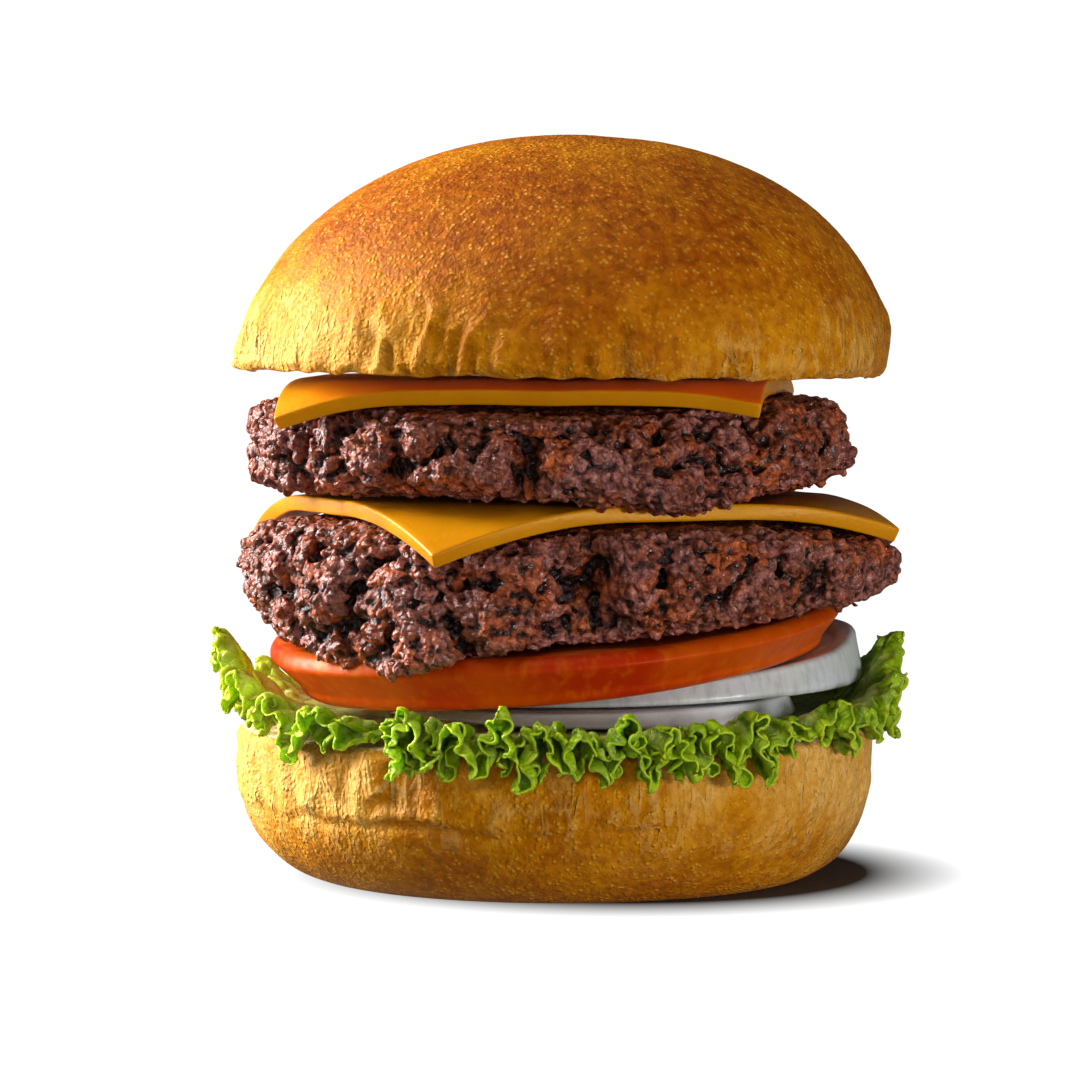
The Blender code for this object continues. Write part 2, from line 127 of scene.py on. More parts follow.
# Cheese slices
CHEESE_THICKNESS = 2.7 * MM
LOWER_CHEESE_TURN = math.radians(24)
CHEESES = {
    "cheese_lower": {
        "side": 87 * MM, "centre": (0.9 * MM, 0.0),
        "turn": LOWER_CHEESE_TURN, "floor": LOWER_PATTY_TOP + GAP,
        "bends": [  # direction, distance of the fold and radius
            (-135, 35 * MM, 48 * MM), (-45, 40 * MM, 48 * MM),
            (45, 41 * MM, 30 * MM), (135, 41 * MM, 25 * MM),
        ],
    },
    "cheese_upper": {
        "side": 82 * MM, "centre": (-2.5 * MM, 0.0),
        "turn": math.radians(-7), "floor": UPPER_PATTY_TOP + GAP,
        "bends": [
            (-135, 40 * MM, 33 * MM), (-90, 31 * MM, 36 * MM), (-45, 43 * MM, 50 * MM),
            (45, 42 * MM, 40 * MM), (135, 42 * MM, 40 * MM),
        ],
    },
}
CHEESE_RIM = 0.42 * MM
CHEESE_CELLS = 72

# Lettuce
LEAF_THICKNESS = 0.34 * MM
LEAF_INNER_RADIUS = 30 * MM
LEAF_FLOOR = 27.8 * MM
LEAVES = {
    "lettuce_front": {
        "arc": (-121.5, -48), "waves": 10.5, "ruffle": 5.8, "frill": 1.3,
        "stands": (-112, 22, 1.6), "droop": 1.9, "phase": 0.4,
    },
    "lettuce_left": {
        "arc": (-123.5, -209), "waves": 7.0, "ruffle": 5.0, "frill": 1.1,
        "stands": (-175, 23, 11.5), "droop": 0.0, "phase": 1.9,
    },
    "lettuce_right": {
        "arc": (-46, 38), "waves": 8.0, "ruffle": 4.6, "frill": 1.1,
        "stands": (6, 17, 10.5), "droop": 0.0, "phase": 3.1,
    },
    "lettuce_back": {
        "arc": (40, 149), "waves": 9.0, "ruffle": 5.2, "frill": 1.3,
        "stands": (95, 40, 0.5), "droop": 0.8, "phase": 5.0,
    },
}
LEAF_SPACING = 0.36 * MM
LEAF_ROWS = 26
LEAF_TRIANGLES = 76000
MARGIN_SAMPLES = 2400
FRILL_LENGTH = 4.4 * MM  # of the smaller frills, along the margin

# Stage, lamps and camera
FLOOR_HALF_SIZE = 2.5
# The floor near the object takes a share of the light, low for the camera so that it shows as a painted
# shadow round SHADOW_MIDDLE, fading to a white glow between the two SHADOW_REACH distances.
FLOOR_TO_LIGHT = 0.6
FLOOR_TO_CAMERA = 0.12
FAR_FLOOR_TO_LIGHT = 0.22
SHADOW_MIDDLE = (12 * MM, 2 * MM, 0.0)
SHADOW_REACH = (42 * MM, 60 * MM)
BACKDROP = 1.05
AMBIENT = 0.05
LAMPS = {  # place, aim, size and power
    "left": ((-0.62, 0.14, 0.27), (0, 0, 0.07), (0.35, 0.5), 16.0),
    "above": ((-0.18, -0.14, 0.75), (0, 0, 0.05), (0.7, 0.7), 3.1),
    "front": ((-0.05, -0.95, 0.12), (0, 0, 0.06), (0.7, 0.3), 1.25),
    "right": ((0.42, -0.40, 0.03), (0.03, 0, 0.01), (0.25, 0.05), 1.6),
}
CAMERA_PLACE = (-3.3 * MM, -800 * MM, 104 * MM)
CAMERA_DOWN = 3.256
LENS = 152.4
SENSOR = 36


# Shapes

def smoothstep(value, low, high):
    t = min(max((value - low) / (high - low), 0.0), 1.0)
    return t * t * (3 - 2 * t)


def slow_noise(point, scale, seed):
    """Smooth noise from -1 to 1, whose swells are about scale across."""
    return noise.noise(point / scale + Vector((seed, seed * 1.7, -seed)))


def ridge(point, scale, seed, sharpness=3.0):
    """Thin lines of height 1 where smooth noise crosses zero, and 0 elsewhere."""
    return max(1 - sharpness * abs(slow_noise(point, scale, seed)), 0.0)


def arc(centre, radii, start, end, count):
    """Points of an ellipse's arc from start to end degrees, both included."""
    angles = [math.radians(start + (end - start) * i / count) for i in range(count + 1)]
    return [(centre[0] + radii[0] * math.cos(a), centre[1] + radii[1] * math.sin(a)) for a in angles]


def line(start, end, count):
    """Points from start to just before end."""
    return [tuple(a + (b - a) * i / count for a, b in zip(start, end)) for i in range(count)]


def add_object(name, data):
    obj = bpy.data.objects.new(name, data)
    bpy.context.scene.collection.objects.link(obj)
    return obj


def write_mark(mesh, name, values):
    """Gives each point of the mesh a number under this name, for the materials to read."""
    made = mesh.attributes.new(name, "FLOAT", "POINT")
    made.data.foreach_set("value", np.asarray(values, dtype=np.float32))


def add_mesh(name, points, faces, look, **marks):
    mesh = bpy.data.meshes.new(name)
    mesh.from_pydata([tuple(point) for point in points], [], faces)
    mesh.materials.append(look)
    mesh.shade_smooth()
    for mark, values in marks.items():
        write_mark(mesh, mark, values)
    return add_object(name, mesh)


def turned(profile, segments):
    """Points and faces of a profile turned about Z. Its first and last points are on the axis."""
    middle = np.array(profile[1:-1])
    angles = np.linspace(0, 2 * math.pi, segments, endpoint=False)
    rings = np.empty((len(middle), segments, 3))
    rings[:, :, 0] = middle[:, :1] * np.cos(angles)
    rings[:, :, 1] = middle[:, :1] * np.sin(angles)
    rings[:, :, 2] = middle[:, 1:]
    first, last = (0, 0, profile[0][1]), (0, 0, profile[-1][1])
    points = [Vector(p) for p in np.vstack((first, rings.reshape(-1, 3), last)).tolist()]
    faces = []
    for j in range(segments):
        after = (j + 1) % segments
        faces.append((0, 1 + j, 1 + after))
        for i in range(len(middle) - 1):
            upper, lower = 1 + i * segments, 1 + (i + 1) * segments
            faces.append((upper + j, lower + j, lower + after, upper + after))
        base = 1 + (len(middle) - 1) * segments
        faces.append((len(points) - 1, base + after, base + j))
    return points, faces


def add_modifier(obj, kind, **settings):
    made = obj.modifiers.new(kind, kind)
    for key, value in settings.items():
        setattr(made, key, value)


def apply_modifiers(obj):
    bpy.context.view_layer.update()
    graph = bpy.context.evaluated_depsgraph_get()
    mesh = bpy.data.meshes.new_from_object(obj.evaluated_get(graph))
    obj.modifiers.clear()
    obj.data = mesh


def read_points(mesh):
    flat = np.empty(len(mesh.vertices) * 3)
    mesh.vertices.foreach_get("co", flat)
    return flat.reshape(-1, 3)


def read_normals(mesh):
    flat = np.empty(len(mesh.vertices) * 3, dtype=np.float32)
    mesh.vertex_normals.foreach_get("vector", flat)
    return flat.reshape(-1, 3)


def neighbour_mean(mesh, values, rounds):
    """Values averaged over each point's neighbours, so many rounds over."""
    edges = np.empty(len(mesh.edges) * 2, dtype=np.int32)
    mesh.edges.foreach_get("vertices", edges)
    ends = np.concatenate((edges[0::2], edges[1::2]))
    others = np.concatenate((edges[1::2], edges[0::2]))
    count = len(mesh.vertices)
    degree = np.maximum(np.bincount(ends, minlength=count), 1)
    for _ in range(rounds):
        totals = [np.bincount(ends, weights=column[others], minlength=count) for column in values.T]
        values = np.stack(totals, axis=1) / degree[:, None]
    return values


def write_hollows(mesh, name, rounds, depth):
    """Marks how far each point lies below the mean of its surroundings, from 0 on a peak to 1 at the bottom
    of a dip; the meat's colour reads these marks to paint shade.
    """
    points = read_points(mesh)
    below = ((neighbour_mean(mesh, points, rounds) - points) * read_normals(mesh)).sum(axis=1)
    write_mark(mesh, name, np.clip(0.5 + 0.5 * below / depth, 0, 1))


def towards(point, degrees, half_width):
    """1 in this direction from the middle, falling to 0 on either side of it."""
    off = (math.degrees(math.atan2(point[1], point[0])) - degrees + 180) % 360 - 180
    return math.exp(-((off / half_width) ** 2))


# Buns

def top_bun_relief(point, rise):
    """Wrinkles in the lower third, shallow dents, and a crumbly rim: how far the crust stands out."""
    low = 1 - smoothstep(rise + 0.10 * slow_noise(point, 12 * MM, 5.0), 0.10, 0.42)
    along = Vector((point.x, point.y, point.z * 0.30))
    wander = Vector((slow_noise(point, 5 * MM, 1.0), slow_noise(point, 5 * MM, 11.0), 0.0)) * 1.6 * MM
    left_front = towards(point, -118, 38)
    patch = smoothstep(slow_noise(point, 15 * MM, 2.0) + 0.35 * left_front, -0.2, 0.3)
    spot = along + wander
    wrinkles = 1.1 * ridge(spot, 3.7 * MM, 3.3, 2.8) + 0.8 * ridge(spot, 6.0 * MM, 9.1, 3.4)
    dents = min(slow_noise(point, 11 * MM, 6.0) + 0.15, 0.0)
    crumbs = noise.noise(point / (1.5 * MM)) * (1 - smoothstep(rise, 0.0, 0.07))
    grain = noise.noise(point / (0.9 * MM)) * 0.07
    relief = 1.1 * low * patch * wrinkles + 0.7 * dents * (1 - 0.6 * rise) + 0.6 * crumbs + grain
    return (relief - 0.5 * (1 - rise)) * MM


def make_top_bun(look):
    height = TOP_BUN_APEX_Z - TOP_BUN_UNDERSIDE_Z
    rim_height = TOP_BUN_WIDEST_Z - TOP_BUN_UNDERSIDE_Z
    dome = arc((0.0, rim_height), (TOP_BUN_RADIUS, TOP_BUN_APEX_Z - TOP_BUN_WIDEST_Z), 90, 0, 84)
    rim = arc((TOP_BUN_RADIUS - TOP_BUN_RIM, rim_height), (TOP_BUN_RIM, rim_height), 0, -90, 8)
    profile = [*dome, *rim[1:-1], *line((TOP_BUN_RADIUS - TOP_BUN_RIM, 0.0), (0.0, 0.0), 26), (0.0, 0.0)]
    points, faces = turned(profile, BUN_SEGMENTS)
    crumb_radius = TOP_BUN_RADIUS - 1.3 * MM
    crumb, pale = [], []
    tilt = Euler((0.0, TOP_BUN_TILT, 0.0)).to_matrix()
    for i, point in enumerate(points):
        rise = max(point.z / height, 0.0)
        swell = slow_noise(point, 26 * MM, 8.0) * BUN_UNEVENNESS * math.sin(math.pi * min(rise, 0.75))
        out = point.normalized()
        cut = math.hypot(point.x, point.y) < crumb_radius and rise < 0.01
        crumb.append(1.0 if cut else 0.0)
        if cut:
            pores = 0.3 * noise.noise(point / (2.2 * MM)) + 0.2 * noise.noise(point / (0.9 * MM))
            moved = point + Vector((0.0, 0.0, (0.25 + pores) * MM))
        else:
            moved = point + out * (swell + top_bun_relief(point, rise))
        moved.x += TOP_BUN_LEAN * rise**0.7
        flat = Vector((point.x, point.y, 0.0))
        ragged = 0.7 * slow_noise(flat, 5 * MM, 12.0) * (1 - smoothstep(rise, 0.0, 0.1))
        moved.z += ragged * MM if math.hypot(point.x, point.y) > crumb_radius - 2 * MM else 0.0
        # Painted light: the lower crust is paler still on the left, where the left lamp falls; it is also
        # paler low down as the bread's own colour, and darker on the front of the dome below its top.
        painted_light_left = towards(point, 188, 42)
        low = 1 - smoothstep(rise + 0.12 * slow_noise(point, 18 * MM, 4.0), 0.0, 0.6)
        darker_front = towards(point, 262, 42) * (1 - smoothstep(rise, 0.70, 0.95))
        pale.append((0.62 + 0.75 * painted_light_left) * low + 0.32 * (1 - darker_front))
        points[i] = tilt @ moved + Vector((0.0, 0.0, TOP_BUN_UNDERSIDE_Z))
    return add_mesh("top_bun_dressed", points, faces, look, crumb=crumb, pale=pale)


def bottom_bun_relief(point):
    """A crease round parts of the side, soft upright wrinkles above it, and soft facets below it."""
    flat = Vector((point.x, point.y, 0.0))
    wander = slow_noise(flat, 9 * MM, 1.0)
    off = point.z - BOTTOM_BUN_CREASE_Z - 1.6 * MM * wander
    folded = towards(point, -107, 38) + towards(point, 75, 40)
    strength = folded * smoothstep(slow_noise(flat, 17 * MM, 5.0), -0.35, 0.25)
    valley = -0.9 * math.exp(-((off / (0.7 * MM)) ** 2))
    crease = valley + 0.8 * math.exp(-(((off - 1.7 * MM) / (1.2 * MM)) ** 2))
    drift = Vector((slow_noise(point, 7 * MM, 4.0), slow_noise(point, 7 * MM, 9.0), 0.0)) * 2.2 * MM
    along = Vector((point.x, point.y, point.z * 0.22)) + drift
    upper = smoothstep(off, -1.5 * MM, 2.5 * MM) * (1 - smoothstep(point.z, 24 * MM, 26 * MM))
    left = 0.45 + 0.55 * towards(point, -125, 42)
    broken = smoothstep(slow_noise(point, 8 * MM, 14.0), -0.35, 0.2)
    upright = broken * ridge(along, 5.2 * MM, 7.7, 2.6) - 0.75 * ridge(along, 8.5 * MM, 2.1, 3.2)
    lower = 1 - smoothstep(off, -2 * MM, 0.0)
    facets = slow_noise(Vector((point.x, point.y, point.z * 0.7)), 9 * MM, 3.0)
    grain = noise.noise(point / (0.9 * MM)) * 0.05
    return (strength * crease + upper * left * upright + 0.6 * lower * facets + grain) * MM


def make_bottom_bun(look):
    flat = BOTTOM_BUN_FLAT_RADIUS
    side = arc((flat, BOTTOM_BUN_WIDEST_Z), (BOTTOM_BUN_RADIUS - flat, BOTTOM_BUN_WIDEST_Z), 0, -90, 58)
    edge_centre = (BOTTOM_BUN_RADIUS - BOTTOM_BUN_EDGE, BOTTOM_BUN_HEIGHT - BOTTOM_BUN_EDGE)
    edge = arc(edge_centre, (BOTTOM_BUN_EDGE, BOTTOM_BUN_EDGE), 90, 0, 8)
    top = line((0.0, BOTTOM_BUN_HEIGHT), edge[0], 22)
    wall = line(edge[-1], side[0], 12)
    underside = line((flat, 0.0), (0.0, 0.0), 12)
    points, faces = turned([*top, *edge[:-1], *wall, *side[:-1], *underside, (0.0, 0.0)], BUN_SEGMENTS)
    crumb, pale = [], []
    for i, point in enumerate(points):
        reach = math.hypot(point.x, point.y)
        on_top = point.z > BOTTOM_BUN_HEIGHT - 0.2 * MM
        crumb.append(1.0 if on_top else 0.0)
        # The crust is paler higher up, and paler at its left and right ends as painted light on the sides.
        ends = max(towards(point, -22, 30), towards(point, -168, 34))
        height = smoothstep(point.z + 4 * MM * slow_noise(point, 9 * MM, 4.0), 5 * MM, 19 * MM)
        pale.append(0.45 + 0.35 * height + 0.9 * ends * (0.45 + 0.55 * height))
        if on_top or reach < flat * 0.5 or point.z < 0.01 * MM:
            if on_top:
                point.z += 0.25 * noise.noise(point / (1.4 * MM)) * MM
            if point.z > 1 * MM:
                point.x += BOTTOM_BUN_LEAN
            continue
        between_flats = math.sin(math.pi * point.z / BOTTOM_BUN_HEIGHT)
        swell = slow_noise(point, 22 * MM, 3.0) * BUN_UNEVENNESS * between_flats
        relief = bottom_bun_relief(point) * smoothstep(point.z, 0.0, 3 * MM)
        out = Vector((point.x, point.y, 0.0)) / reach
        lean = BOTTOM_BUN_LEAN * smoothstep(point.z, 0.0, BOTTOM_BUN_HEIGHT / 3)
        points[i] = point + out * (swell + relief) + Vector((lean, 0.0, 0.0))
    return add_mesh("bottom_bun_dressed", points, faces, look, crumb=crumb, pale=pale)


# Onion and tomato

def plane(surface, x, y):
    """The height of a leaning plane over a point."""
    return surface[0] + surface[1] * x + surface[2] * y


def ring_groove(reach, radius):
    """How deep the groove between two onion rings is here, from 0 to 1."""
    inward = (radius - reach) / ONION_RING_WIDTH
    off = abs(inward - round(inward)) * ONION_RING_WIDTH
    return math.exp(-((off / (0.28 * MM)) ** 2)) if inward > 0.5 else 0.0


def make_onion(node, onion, look):
    """Turned at a thickness of one, then laid between two planes, with its outer ring lifted at the right."""
    (foot_radius, radius), centre = onion["radii"], onion["centre"]
    ring_inside = radius - ONION_RING_WIDTH
    inner = line((0.0, 1.0), (ring_inside - 0.5 * MM, 1.0), 44)
    step = line((ring_inside - 0.5 * MM, 1.0), (radius - ONION_SHOULDER, 1.0), 8)
    shoulder = arc((radius - ONION_SHOULDER, 0.8), (ONION_SHOULDER, 0.2), 90, 0, 5)
    wall = line(shoulder[-1], (foot_radius, 0.25), 8)
    foot = arc((foot_radius - ONION_FOOT, 0.2), (ONION_FOOT, 0.2), 0, -90, 4)
    under = line(foot[-1], (0.0, 0.0), 40)
    profile = [*inner, *step, *shoulder[:-1], *wall, *foot[:-1], *under, (0.0, 0.0)]
    points, faces = turned(profile, ONION_SEGMENTS)
    groove = []
    for i, point in enumerate(points):
        reach = math.hypot(point.x, point.y)
        swell = 1 + 0.02 * slow_noise(point * Vector((1, 1, 0)), 18 * MM, 5.0)
        x, y = point.x * swell + centre[0], point.y * swell + centre[1]
        lift = 0.0
        if reach > ring_inside - 0.1 * MM:
            angle = math.degrees(math.atan2(point.y, point.x))
            lift = onion["ring_lift"] * smoothstep(angle, -26, 4) * smoothstep(-angle, -95, -35)
        floor, top = plane(onion["floor"], x, y), plane(onion["top"], x, y) + lift
        height = floor + point.z * (top - floor)
        cut_face = point.z > 0.999 or point.z < 0.001
        depth = ring_groove(reach, radius) if cut_face else 0.0
        groove.append(depth)
        height -= math.copysign(0.35 * MM * depth, point.z - 0.5)
        fibres = 0.06 * noise.noise(Vector((x / (1.1 * MM), y / (1.1 * MM), height / (9 * MM)))) * MM
        out = Vector((point.x, point.y, 0.0)).normalized()
        points[i] = Vector((x, y, height)) + out * fibres
    # Painted light: a mark of 1 makes the lower slice's colour whiter, standing in for light where it lies in
    # shade.
    pale = [onion["pale"]] * len(points)
    return add_mesh(f"{node}_dressed", points, faces, look, groove=groove, pale=pale)


def tomato_thickness(x, y):
    share = math.hypot(x - TOMATO_CENTRE[0], y - TOMATO_CENTRE[1]) / TOMATO_RADII[1]
    at_rim = TOMATO_RIM_THICKNESS - TOMATO_TAPER * x / TOMATO_RADII[1]
    return TOMATO_MID_THICKNESS + (at_rim - TOMATO_MID_THICKNESS) * smoothstep(share, 0.3, 0.9)


def make_tomato(look):
    """Turned at a thickness of one, then set on the leaning plane."""
    edge = TOMATO_EDGE
    lower_skin = arc((TOMATO_RADII[0] - edge, 0.25), (edge, 0.25), -5, -88, 9)
    upper_skin = arc((TOMATO_RADII[1] - edge, 0.72), (edge, 0.28), 88, 0, 10)
    top = line((0.0, 1.0), upper_skin[0], 34)
    wall = line(upper_skin[-1], lower_skin[0], 9)
    under = line(lower_skin[-1], (0.0, 0.0), 30)
    profile = [*top, *upper_skin[:-1], *wall, *lower_skin[:-1], *under, (0.0, 0.0)]
    points, faces = turned(profile, TOMATO_SEGMENTS)
    skin_from = 1 + (len(top) + 1) * TOMATO_SEGMENTS
    skin_to = 1 + (len(profile) - 35) * TOMATO_SEGMENTS
    skin = [1.0 if skin_from <= i < skin_to else 0.0 for i in range(len(points))]
    for i, point in enumerate(points):
        angle = math.atan2(point.y, point.x)
        lobed = 1 + TOMATO_LOBE_DEPTH * math.cos(TOMATO_LOBES * angle + 0.6)
        x = point.x * lobed + TOMATO_CENTRE[0] + TOMATO_SLANT * (1 - point.z)
        y = point.y * lobed + TOMATO_CENTRE[1]
        height = plane(TOMATO_FLOOR, x, y) + point.z * tomato_thickness(x, y)
        swell = 0.25 * slow_noise(Vector((x, y, height)), 14 * MM, 7.0) * MM
        points[i] = Vector((x + swell * math.cos(angle), y + swell * math.sin(angle), height))
    return add_mesh("tomato_dressed", points, faces, look, skin=skin)


# Patties

def crag(point, seed):
    """How deep a patty's surface is broken at a point, from 0 to 1: round lumps with creases between them."""
    spot = point / CRAG_SIZE + Vector((seed, -seed, seed * 2))
    lumps = min(2.4 * abs(noise.noise(spot)), 1.0)
    grains = min(2.0 * abs(noise.noise(spot * 2.1)), 1.0)
    return 1 - 0.65 * lumps - 0.35 * grains


def hanging(hangs, x, y):
    return sum(drop * towards((x, y), degrees, half_width) for degrees, half_width, drop in hangs)


def lower_patty_floor(x, y):
    """It lies on the tomato, and hangs past the tomato's rim in some directions."""
    share = math.hypot(x - TOMATO_CENTRE[0], y - TOMATO_CENTRE[1]) / TOMATO_RADII[1]
    on_tomato = plane(TOMATO_FLOOR, x, y) + tomato_thickness(x, y) + 2 * GAP
    return on_tomato - hanging(LOWER_PATTY_HANGS, x, y) * smoothstep(share, 1.0, 1.1)


def lower_patty_top(x, y):
    """Flat under the cheese, and lower towards the corners where the cheese bends down."""
    reach = math.hypot(x, y)
    corners = sum(towards((x, y), math.degrees(LOWER_CHEESE_TURN) - 135 + 90 * i, 22) for i in range(4))
    return LOWER_PATTY_TOP - LOWER_PATTY_CORNER_DROP * corners * smoothstep(reach, 36 * MM, 56 * MM)


def upper_patty_floor(x, y):
    reach = math.hypot(x, y)
    hang = hanging(UPPER_PATTY_HANGS, x, y) * smoothstep(reach, 40 * MM, 52 * MM)
    lip = hanging([UPPER_PATTY_LIP], x, y) * smoothstep(reach, 45.5 * MM, 49 * MM)
    return UPPER_PATTY_BOTTOM - hang - lip


def upper_patty_top(x, y):
    return UPPER_PATTY_TOP - UPPER_PATTY_FRONT_DROP * smoothstep(-y, 26 * MM, 46 * MM)


def smooth_curve(stations, place):
    """A point of the smooth curve through the stations. Place counts them, and may lie between two."""
    i = min(int(place), len(stations) - 2)
    t = place - i
    before = stations[max(i - 1, 0)]
    start, end = stations[i], stations[i + 1]
    after = stations[min(i + 2, len(stations) - 1)]
    return tuple(
        0.5 * (2 * b + (c - a) * t + (2 * a - 5 * b + 4 * c - d) * t * t + (3 * b - a - 3 * c + d) * t**3)
        for a, b, c, d in zip(before, start, end, after)
    )


def patty_point(patty, reach, level, angle, sink):
    """A point of the patty's surface, sunk by this much below the form of its solid."""
    radii, centre, seed = patty["radii"], patty["centre"], patty["seed"]
    lobed = 1 + 0.014 * math.cos(3 * angle + seed) + 0.01 * math.cos(7 * angle + 2 * seed)
    out = Vector((math.cos(angle) * radii[0], math.sin(angle) * radii[1], 0.0)) * reach * lobed
    x, y = out.x + centre[0], out.y + centre[1]
    floor, top = patty["floor"](x, y), patty["top"](x, y)
    height = (floor + top) / 2 + level * (top - floor) / 2
    depth = crag(Vector((x, y, height)), seed)
    deeper = 2.6 * MM * smoothstep(depth, 0.5, 0.95)
    for direction, half_width, tuck in patty["tucks"]:
        deeper += tuck * towards((x, y), direction, half_width) * smoothstep(-level, -0.3, 0.8)
    for direction, half_width, crevice in patty["crevices"]:
        deeper += crevice * towards((x, y), direction, half_width) * smoothstep(1 - level, 0.0, 0.8)
    inward = -out.normalized() * (depth * CRAG_DEPTH + deeper + sink) * smoothstep(reach, 0.8, 0.98)
    pressed_in = -math.copysign((depth * PRESSED_DEPTH + sink * 0.2) * abs(level), level)
    return Vector((x + inward.x, y + inward.y, height + pressed_in))


def patty_core(patty):
    """The patty's body, a little under its surface."""
    stations = [*PATTY_UPPER, *PATTY_LOWER]
    places = np.linspace(0, len(stations) - 1, PATTY_RINGS)
    profile = [smooth_curve(stations, place) for place in places]
    profile[0], profile[-1] = (0.0, 1.0), (0.0, -1.0)
    points, faces = turned(profile, PATTY_SEGMENTS)
    for i, point in enumerate(points):
        angle = math.atan2(point.y, point.x)
        points[i] = patty_point(patty, math.hypot(point.x, point.y), point.z, angle, CORE_SINK)
    return points, faces


def ball(subdivisions):
    bm = bmesh.new()
    bmesh.ops.create_icosphere(bm, subdivisions=subdivisions, radius=1.0)
    points = np.array([vertex.co[:] for vertex in bm.verts])
    faces = np.array([[vertex.index for vertex in face.verts] for face in bm.faces])
    bm.free()
    return points, faces


def grain_places(patty, count, chance):
    """Where grains sit, with the direction out of the patty there: mostly round its side and shoulders."""
    stations = [*PATTY_UPPER, *PATTY_LOWER]
    for _ in range(count):
        angle = chance.uniform(-math.pi, math.pi)
        place = chance.triangular(*GRAIN_STATIONS)
        reach, level = smooth_curve(stations, place)
        at = patty_point(patty, reach, level, angle, 0.0)
        sideways = smoothstep(reach, 0.75, 1.0)
        outward = Vector((math.cos(angle) * sideways, math.sin(angle) * sideways, 0.9 * level**3))
        yield at, outward.normalized()


def make_patty(node, patty, look):
    """A core with grains of meat all over its side, made into one skin."""
    chance = random.Random(patty["seed"])
    core_points, core_faces = patty_core(patty)
    ball_points, ball_faces = ball(2)
    points = [np.array([p[:] for p in core_points])]
    faces = [list(face) for face in core_faces]
    offset = len(core_points)
    places = [*grain_places(patty, GRAIN_COUNT, chance), *patty["extra_grains"]]
    for at, outward in places:
        size = chance.triangular(*GRAIN_SIZES) * MM
        scale = np.array([size * chance.uniform(0.75, 1.0), size, size * chance.uniform(1.1, 2.0)])
        turn = np.array(Euler([chance.uniform(0, 2 * math.pi) for _ in range(3)]).to_matrix())
        middle = np.array(at - outward * (size * chance.uniform(0.7, 1.2) + GRAIN_SINK))
        points.append(ball_points * scale @ turn.T + middle)
        faces.extend((ball_faces + offset).tolist())
        offset += len(ball_points)
    obj = add_mesh(f"{node}_dressed", np.vstack(points), faces, look)
    add_modifier(obj, "REMESH", mode="VOXEL", voxel_size=PATTY_VOXEL)
    apply_modifiers(obj)
    add_modifier(obj, "SMOOTH", factor=0.5, iterations=1)
    add_modifier(obj, "DECIMATE", ratio=min(1.0, PATTY_TRIANGLES / (2 * len(obj.data.polygons))))
    apply_modifiers(obj)
    roughen(obj.data, patty["seed"])
    for mark, (rounds, depth) in HOLLOWS.items():
        write_hollows(obj.data, mark, rounds, depth)
    obj.data.shade_smooth()
    return obj


def crumble(point, seed):
    """How far the skin stands out here: crumbs of meat with cracks between them, and a finer unevenness."""
    wander = noise.noise(point / (2.2 * MM)) * 0.9 * MM
    spot = (point + Vector((wander, -wander, wander))) / CRUMB_SIZE + Vector((seed, 0, 0))
    nearest, second = noise.voronoi(spot)[0][:2]
    crack = 1 - smoothstep(second - nearest, 0.0, 0.38)
    return CRUMB_RISE * (0.35 - crack) + 0.26 * MM * noise.noise(point / (1.3 * MM) + Vector((0, seed, 0)))


def roughen(mesh, seed):
    """Moves the skin along its normals."""
    points = read_points(mesh)
    height = np.array([crumble(Vector(point), seed) for point in points])
    moved = points + read_normals(mesh) * height[:, None]
    mesh.vertices.foreach_set("co", moved.astype(np.float32).ravel())
    mesh.update()


def dropped_nugget():
    """A small crumb of meat that hangs from the lower patty beside the tomato."""
    down = Vector((0.0, 0.0, -1.0))
    places = [
        (50.0, -7.0, 49.5), (50.6, -7.4, 48.0), (49.6, -7.0, 46.8), (51.6, -7.6, 46.6), (48.2, -6.8, 46.4),
    ]
    return [(Vector(place) * MM, down) for place in places]


def patty_shapes():
    """What sets the patties apart. Crevices and tucks are a direction, a half width and a depth."""
    return {
        "patty_lower": {
            "centre": (2.4 * MM, 0.0), "radii": (58.8 * MM, 55.2 * MM), "seed": 1.3,
            "floor": lower_patty_floor, "top": lower_patty_top,
            "crevices": [(-86, 8, 9 * MM), (-108, 2.5, 2 * MM), (-40, 3, 4 * MM)],
            "tucks": [(-175, 35, 2.6 * MM), (-5, 35, 3.2 * MM)],
            "extra_grains": dropped_nugget(),
        },
        "patty_upper": {
            "centre": (-1.3 * MM, 0.0), "radii": (53.8 * MM, 53.0 * MM), "seed": 4.1,
            "floor": upper_patty_floor, "top": upper_patty_top,
            "crevices": [(-98, 3, 5 * MM), (-122, 2.5, 4 * MM), (-148, 3, 4 * MM), (-60, 2.5, 3 * MM)],
            "tucks": [(180, 35, 0.8 * MM)],
            "extra_grains": [],
        },
    }


# Cheese

